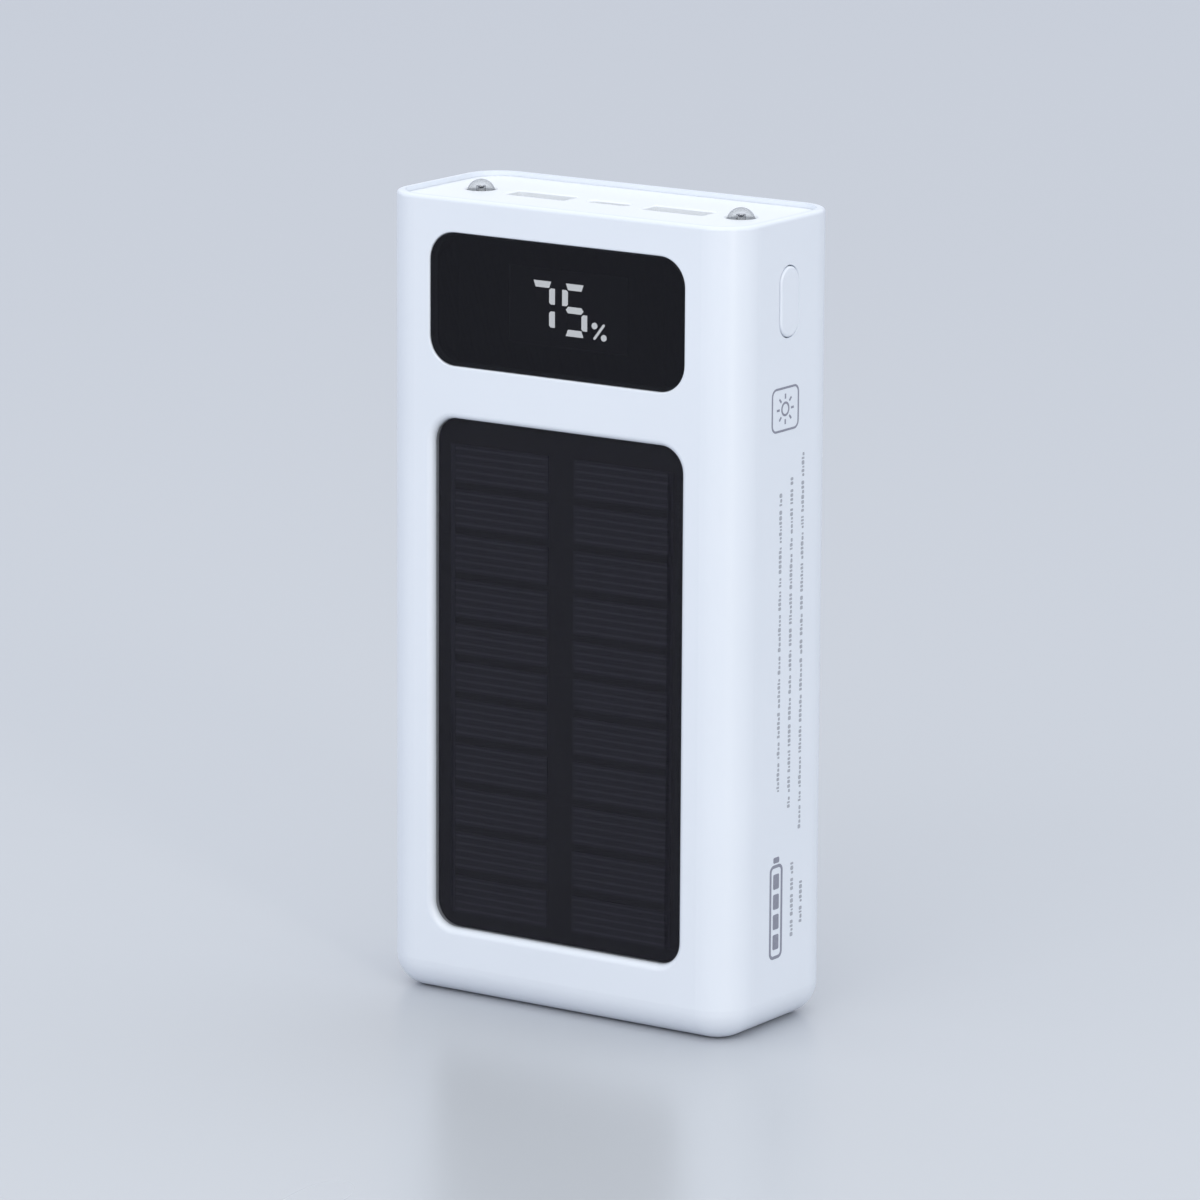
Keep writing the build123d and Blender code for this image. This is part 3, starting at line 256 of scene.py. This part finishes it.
def matte_dark(name, tone, roughness=0.7):
    """Dull dark plastic or tape with a faint grain."""
    colour = (tone, tone, tone * 1.15)
    shader = Shader(name, colour, roughness)
    shader.set("Specular IOR Level", 0.2)
    shader.vary_colour(shader.noise(3 * MM), colour, tuple(c * 1.25 for c in colour))
    shader.bump(shader.noise(0.2 * MM), 0.01 * MM, 0.5)
    return shader.material


def glowing_bar():
    """Lit diffuser of the display."""
    shader = Shader("lit_bar", (0.75, 0.78, 0.84), 0.5)
    shader.vary_colour(shader.noise(1.2 * MM), (0.72, 0.76, 0.84), (0.80, 0.83, 0.88))
    shader.set("Emission Color", (0.90, 0.94, 1.0, 1.0))
    shader.set("Emission Strength", 8.5)
    return shader.material


def solar_cell():
    """Blue-black silicon with a faint crystal drift."""
    shader = Shader("solar_cell", (0.013, 0.013, 0.020), 0.35)
    shader.set("Specular IOR Level", 0.3)
    shader.vary_colour(
        shader.noise(5 * MM, 4.0, (1, 1, 2)), (0.0115, 0.0108, 0.0190), (0.0145, 0.0132, 0.0228)
    )
    shader.vary_roughness(shader.noise(2 * MM), 0.30, 0.42)
    return shader.material


def solar_line():
    """Fine printed finger on a cell."""
    shader = Shader("solar_finger", (0.030, 0.029, 0.044), 0.4)
    shader.vary_colour(shader.noise(1.5 * MM), (0.026, 0.0255, 0.038), (0.034, 0.0325, 0.049))
    return shader.material


def solar_laminate():
    """Clear laminate over the cells, slightly hazy."""
    shader = Shader("solar_laminate", (0.009, 0.0082, 0.0160), 0.20, alpha=0.30)
    shader.vary_roughness(shader.noise(7 * MM, 4.0), 0.18, 0.28)
    shader.bump(shader.noise(10 * MM, 2.0), 0.02 * MM, 0.25)
    return shader.material


def plated_metal(name, colour, roughness, grain=(1, 1, 12)):
    """Plated sheet metal with a drawn grain."""
    shader = Shader(name, colour, roughness, metallic=1.0)
    shader.vary_roughness(shader.noise(0.5 * MM, 3.0, grain), roughness - 0.07, roughness + 0.08)
    shader.vary_colour(shader.noise(2 * MM), colour, tuple(c * 0.88 for c in colour))
    shader.bump(shader.noise(0.3 * MM, 2.0, grain), 0.004 * MM, 0.4)
    return shader.material


def clear_epoxy():
    """Clear lamp resin: see-through from the front, denser and grey towards its outline."""
    shader = Shader("clear_epoxy", (0.30, 0.32, 0.36), 0.03)
    shader.vary_roughness(shader.noise(1 * MM), 0.02, 0.05)
    outline = shader.nodes.new("ShaderNodeLayerWeight")
    outline.inputs["Blend"].default_value = 0.35
    density = shader.ranged(outline.outputs["Facing"], 0.06, 0.80)
    shader.links.new(density, shader.principled.inputs["Alpha"])
    return shader.material


def phosphor():
    """Yellow phosphor on a lamp chip."""
    shader = Shader("phosphor", (0.72, 0.55, 0.10), 0.7)
    shader.vary_colour(shader.noise(0.3 * MM), (0.68, 0.50, 0.08), (0.78, 0.62, 0.16))
    return shader.material


def moulded(name, colour, roughness=0.5):
    """Plain moulded insulator."""
    shader = Shader(name, colour, roughness)
    shader.vary_colour(shader.noise(2 * MM), colour, tuple(c * 0.93 for c in colour))
    shader.bump(shader.noise(0.15 * MM), 0.004 * MM, 0.5)
    return shader.material


def solder_mask():
    """Green lacquer over faint copper tracks."""
    shader = Shader("solder_mask", (0.02, 0.12, 0.06), 0.35, coat_weight=0.3)
    shader.vary_colour(shader.noise(1.4 * MM, 1.0), (0.015, 0.10, 0.05), (0.03, 0.16, 0.08))
    shader.bump(shader.noise(0.8 * MM, 1.0), 0.02 * MM, 0.4)
    return shader.material


def pad_print(name, colour):
    """Printed ink with slightly uneven cover."""
    shader = Shader(name, colour, 0.6)
    shader.vary_colour(shader.noise(0.5 * MM), colour, tuple(min(1, c * 1.18) for c in colour))
    return shader.material


def foil():
    """Laminated foil pouch, softly creased."""
    shader = Shader("pouch_foil", (0.55, 0.57, 0.61), 0.38, metallic=0.9)
    shader.vary_roughness(shader.noise(4 * MM), 0.30, 0.48)
    shader.bump(shader.noise(6 * MM, 3.0), 0.08 * MM, 0.5)
    return shader.material


CASE_TONES = ((0.760, 0.805, 0.880), (0.775, 0.820, 0.895))
MATERIALS = {
    "case_white": white_plastic("case_plastic", *CASE_TONES, 0.34),
    "plate_white": white_plastic("plate_plastic", (0.83, 0.86, 0.90), (0.85, 0.88, 0.92), 0.38),
    "button_white": white_plastic("button_plastic", *CASE_TONES, 0.30),
    "window_black": smoked_acrylic(),
    "black_tape": matte_dark("black_tape", 0.006, 0.8),
    "module_black": matte_dark("module_black", 0.004, 0.6),
    "lit_segment": glowing_bar(),
    "dark_segment": matte_dark("dark_bar", 0.006, 0.5),
    "board_green": solder_mask(),
    "gold_contact": plated_metal("gold_plate", (0.80, 0.58, 0.22), 0.28),
    "solar_cover_clear": solar_laminate(),
    "solar_cell_dark": solar_cell(),
    "solar_ribbon": plated_metal("solar_ribbon", (0.06, 0.06, 0.075), 0.5),
    "panel_black": matte_dark("panel_black", 0.0045, 0.6),
    "steel": plated_metal("nickel_steel", (0.72, 0.73, 0.75), 0.26),
    "lamp_clear": clear_epoxy(),
    "reflector_silver": plated_metal("lamp_reflector", (0.80, 0.81, 0.84), 0.18, (1, 1, 1)),
    "chip_yellow": phosphor(),
    "tin_lead": plated_metal("tinned_lead", (0.68, 0.69, 0.71), 0.35),
    "insulator_white": moulded("white_insulator", (0.80, 0.82, 0.84)),
    "insulator_black": moulded("black_insulator", (0.02, 0.02, 0.022)),
    "switch_black": moulded("switch_shell", (0.03, 0.03, 0.032)),
    "chip_black": moulded("chip_epoxy", (0.02, 0.02, 0.022), 0.6),
    "ferrite_grey": moulded("pressed_ferrite", (0.10, 0.10, 0.11), 0.75),
    "capacitor_can": plated_metal("capacitor_can", (0.75, 0.76, 0.78), 0.25, (1, 1, 1)),
    "passive_tan": moulded("ceramic_body", (0.42, 0.29, 0.16), 0.5),
    "bracket_grey": moulded("bracket_plastic", (0.35, 0.37, 0.40), 0.55),
    "screw_zinc": plated_metal("zinc_screw", (0.60, 0.61, 0.64), 0.32, (1, 1, 1)),
    "cell_foil": foil(),
    "nickel_tab": plated_metal("nickel_tab", (0.70, 0.68, 0.62), 0.34),
    "foam_tape": moulded("adhesive_sheet", (0.72, 0.73, 0.75), 0.8),
    "lead_red": moulded("red_insulation", (0.50, 0.02, 0.02), 0.45),
    "lead_black": moulded("black_insulation", (0.02, 0.02, 0.02), 0.45),
}
INK_GREY = pad_print("ink_grey", (0.36, 0.38, 0.43))
INK_DARK = pad_print("ink_dark", (0.24, 0.25, 0.31))


def dress_cad_nodes():
    """Gives every CAD node its slot's material and smooth shading between its crisp edges."""
    slots = {row["node"]: row["material_slot"] for row in frame["record"]["subparts"]}
    for name, obj in frame["nodes"].items():
        obj.data.materials.clear()
        obj.data.materials.append(MATERIALS[slots[name]])
        for polygon in obj.data.polygons:
            polygon.use_smooth = True
            polygon.material_index = 0
        obj.data.set_sharp_from_angle(angle=math.radians(28))


# ---- Solar fingers ----
FINGER_PITCH = 1.33 * MM
FINGER_WIDTH = 0.34 * MM
FINGER_INSET = 0.5 * MM
FINGER_ROUNDING = 0.45


def cell_boxes():
    """(low, high) across and up of each solar cell, read from the cells' own corners."""
    corners = {}
    mesh = frame["nodes"]["solar_cells"].data
    groups = {}
    for edge in mesh.edges:
        a, b = (tuple(round(c, 6) for c in mesh.vertices[v].co) for v in edge.vertices)
        groups.setdefault(a, set()).add(b)
        groups.setdefault(b, set()).add(a)
    seen = set()
    boxes = []
    for start in groups:
        if start in seen:
            continue
        stack, island = [start], []
        while stack:
            point = stack.pop()
            if point in seen:
                continue
            seen.add(point)
            island.append(point)
            stack.extend(groups[point] - seen)
        xs, zs = [p[0] for p in island], [p[2] for p in island]
        boxes.append(((min(xs), min(zs)), (max(xs), max(zs))))
    return boxes


def solar_fingers():
    """Fine lines printed across each cell."""
    relief = Relief((0, CELLS_FRONT, 0), (1, 0, 0), (0, 0, 1), (0, -1, 0), INK_THICKNESS)
    for (x0, z0), (x1, z1) in cell_boxes():
        lines = round((z1 - z0) / FINGER_PITCH)
        pitch = (z1 - z0) / lines
        width = x1 - x0 - 2 * FINGER_INSET
        for line in range(lines):
            outline = rounded_outline(width, FINGER_WIDTH, FINGER_WIDTH * FINGER_ROUNDING, 2)
            relief.solid(shifted(outline, (x0 + x1) / 2, z0 + pitch * (line + 0.5)))
    return piece(relief.finish("solar_fingers"), BODY, solar_line())


# ---- Printed marks on the right side ----
# Places are measured from the middle of the side's lower edge: back (y) and up (z)
SIDE_ORIGIN = (SIDE_X, (CASE_LOW.y + CASE_HIGH.y) / 2, CASE_LOW.z)

# Rows in place of small print: (y, lower end, upper end)
LONG_ROWS = (
    (5.0 * MM, 34.2 * MM, 100.1 * MM),
    (1.6 * MM, 38.5 * MM, 96.4 * MM),
    (-1.8 * MM, 41.9 * MM, 93.6 * MM),
)
SHORT_ROWS = ((2.9 * MM, 15.7 * MM, 28.7 * MM), (5.7 * MM, 17.6 * MM, 25.4 * MM))
LONG_ROW_HEIGHT = 0.8 * MM
SHORT_ROW_HEIGHT = 0.85 * MM
DASH_LENGTHS = (0.3, 0.75)
DASH_GAP = 0.22 * MM
GROUP_GAP = 0.55 * MM
GROUP_SIZES = (3, 8)
DASH_ROUNDING = 0.3

# Sun pictogram
SUN_PLACE = (-0.7 * MM, 107.7 * MM)
SUN_FRAME_W = 8.4 * MM
SUN_FRAME_H = 7.6 * MM
SUN_FRAME_R = 1.4 * MM
SUN_DISC_R = 1.25 * MM
RAY_START = 1.75
RAY_END = 2.6
RAYS = 8

# Battery pictogram
BATTERY_PLACE = (-2.0 * MM, 21.0 * MM)
BATTERY_W = 4.0 * MM
BATTERY_H = 16.5 * MM
BATTERY_R = 1.2 * MM
BATTERY_LINE = 0.55 * MM
CAP_W = 1.8 * MM
CAP_H = 1.0 * MM
CAP_RISE = 0.8 * MM
CHARGE_BARS = 4
CHARGE_MARGIN = 1.2 * MM
CHARGE_SIDE_GAP = 2.2 * MM
CHARGE_GAP = 0.9 * MM
CHARGE_R = 0.3 * MM


def dash_row(relief, rng, y, low, high, height):
    """Row of small bars in groups that runs up the side, in place of small print."""
    z = low
    while z < high:
        for _ in range(rng.randint(*GROUP_SIZES)):
            length = rng.uniform(*DASH_LENGTHS) * MM
            if z + length > high:
                return
            tall = height * rng.choice((0.7, 1.0, 1.0))
            outline = rounded_outline(tall, length, min(tall, length) * DASH_ROUNDING, 2)
            relief.solid(shifted(outline, y + (height - tall) / 2, z + length / 2))
            z += length + DASH_GAP
        z += GROUP_GAP


def frame_ring(relief, width, height, radius, line, y, z):
    """Rounded rectangle drawn with a line of one width."""
    inner = rounded_outline(width - 2 * line, height - 2 * line, radius - line)
    relief.ring(shifted(rounded_outline(width, height, radius), y, z), shifted(inner, y, z))


def sun_mark(relief, y, z):
    """Sun pictogram in a rounded frame."""
    frame_ring(relief, SUN_FRAME_W, SUN_FRAME_H, SUN_FRAME_R, INK_LINE, y, z)
    relief.ring(
        shifted(circle_outline(SUN_DISC_R), y, z),
        shifted(circle_outline(SUN_DISC_R - INK_LINE), y, z),
    )
    for ray in range(RAYS):
        angle = 2 * math.pi * ray / RAYS
        direction = Vector((math.cos(angle), math.sin(angle)))
        side = Vector((-direction.y, direction.x)) * INK_LINE * 0.5
        start, end = direction * RAY_START * MM, direction * RAY_END * MM
        corners = [start - side, end - side, end + side, start + side]
        relief.solid(shifted([tuple(c) for c in corners], y, z))


def battery_mark(relief, y, z):
    """Battery pictogram, standing on end, with charge bars."""
    frame_ring(relief, BATTERY_W, BATTERY_H, BATTERY_R, BATTERY_LINE, y, z)
    cap = rounded_outline(CAP_W, CAP_H, CHARGE_R)
    relief.solid(shifted(cap, y, z + BATTERY_H / 2 + CAP_RISE))
    pitch = (BATTERY_H - 2 * CHARGE_MARGIN) / CHARGE_BARS
    for bar in range(CHARGE_BARS):
        place = z - BATTERY_H / 2 + CHARGE_MARGIN + pitch * (bar + 0.5)
        outline = rounded_outline(BATTERY_W - CHARGE_SIDE_GAP, pitch - CHARGE_GAP, CHARGE_R)
        relief.solid(shifted(outline, y, place))


def side_print():
    """All ink on the right side: bars for small print, and two pictograms."""
    rng = random.Random(7)
    plane = (SIDE_ORIGIN, (0, 1, 0), (0, 0, 1), (1, 0, 0), INK_THICKNESS)
    grey = Relief(*plane)
    for y, low, high in LONG_ROWS:
        dash_row(grey, rng, y, low, high, LONG_ROW_HEIGHT)
    for y, low, high in SHORT_ROWS:
        dash_row(grey, rng, y, low, high, SHORT_ROW_HEIGHT)
    piece(grey.finish("side_small_print"), BODY, INK_GREY)
    dark = Relief(*plane)
    sun_mark(dark, *SUN_PLACE)
    battery_mark(dark, *BATTERY_PLACE)
    piece(dark.finish("side_pictograms"), BODY, INK_DARK)


# ---- Stage: floor, light and camera ----
def floor_and_world():
    """Pale glossy floor and a soft cool surround."""
    mesh = bmesh.new()
    bmesh.ops.create_grid(mesh, x_segments=2, y_segments=2, size=6.0)
    floor = mesh_object("floor", mesh)
    shader = Shader("floor_lacquer", (0.52, 0.54, 0.58), 0.26)
    shader.vary_roughness(shader.noise(0.4, 2.0), 0.24, 0.29)
    shader.vary_colour(shader.noise(0.9, 1.0), (0.515, 0.535, 0.575), (0.525, 0.545, 0.585))
    floor.data.materials.append(shader.material)
    world = bpy.data.worlds.new("surround")
    bpy.context.scene.world = world
    world.use_nodes = True
    nodes, links = world.node_tree.nodes, world.node_tree.links
    background = nodes["Background"]
    place = nodes.new("ShaderNodeTexCoord")
    split = nodes.new("ShaderNodeSeparateXYZ")
    ramp = nodes.new("ShaderNodeValToRGB")
    ramp.color_ramp.elements[0].position = 0.0
    ramp.color_ramp.elements[0].color = (0.352, 0.368, 0.480, 1.0)
    ramp.color_ramp.elements[1].position = 0.5
    ramp.color_ramp.elements[1].color = (0.915, 0.955, 0.990, 1.0)
    links.new(place.outputs["Generated"], split.inputs["Vector"])
    links.new(split.outputs["Z"], ramp.inputs["Fac"])
    links.new(ramp.outputs["Color"], background.inputs["Color"])
    background.inputs["Strength"].default_value = 1.165


def toward(azimuth, elevation):
    """Unit vector from the object: azimuth 0 is the front, 90 is the right side."""
    a, e = math.radians(azimuth), math.radians(elevation)
    return Vector((math.sin(a) * math.cos(e), -math.cos(a) * math.cos(e), math.sin(e)))


def softbox(name, azimuth, elevation, distance, size, power, colour):
    """Rectangular studio light aimed at the middle of the object."""
    data = bpy.data.lights.new(name, "AREA")
    data.shape = "RECTANGLE"
    data.size, data.size_y = size
    data.energy = power
    data.color = colour
    lamp = link(bpy.data.objects.new(name, data))
    away = toward(azimuth, elevation)
    lamp.location = MIDDLE + away * distance
    lamp.rotation_mode = "QUATERNION"
    lamp.rotation_quaternion = (-away).to_track_quat("-Z", "Y")


def lights():
    """Broad front light, and a tall strip whose reflection runs down the rounded front corner."""
    softbox("front_box", 10, 35, 1.5, (1.1, 0.8), 4.4, (1.0, 0.98, 0.94))
    softbox("corner_strip", 58, 12, 1.2, (0.16, 0.9), 3.0, (1.0, 0.93, 0.78))


def camera():
    """Camera on its measured place, with its own aim and roll."""
    yaw, roll = math.radians(CAMERA_YAW), math.radians(CAMERA_ROLL)
    back = toward(CAMERA_YAW, CAMERA_PITCH)
    level_right = Vector((math.cos(yaw), math.sin(yaw), 0))
    level_up = back.cross(level_right)
    right = level_right * math.cos(roll) + level_up * math.sin(roll)
    up = level_up * math.cos(roll) - level_right * math.sin(roll)
    data = bpy.data.cameras.new("camera")
    data.lens = CAMERA_LENS
    data.sensor_width = SENSOR_WIDTH
    data.clip_start, data.clip_end = 0.05, 50.0
    obj = link(bpy.data.objects.new("camera", data))
    turn = Matrix((right, up, back)).transposed().to_4x4()
    place = MIDDLE + toward(CAMERA_AZIMUTH, CAMERA_ELEVATION) * CAMERA_DISTANCE
    obj.matrix_world = Matrix.Translation(place) @ turn
    bpy.context.scene.camera = obj


bpy.context.scene.view_settings.view_transform = "Standard"
camera()
lights()
floor_and_world()
dress_cad_nodes()
solar_fingers()
side_print()
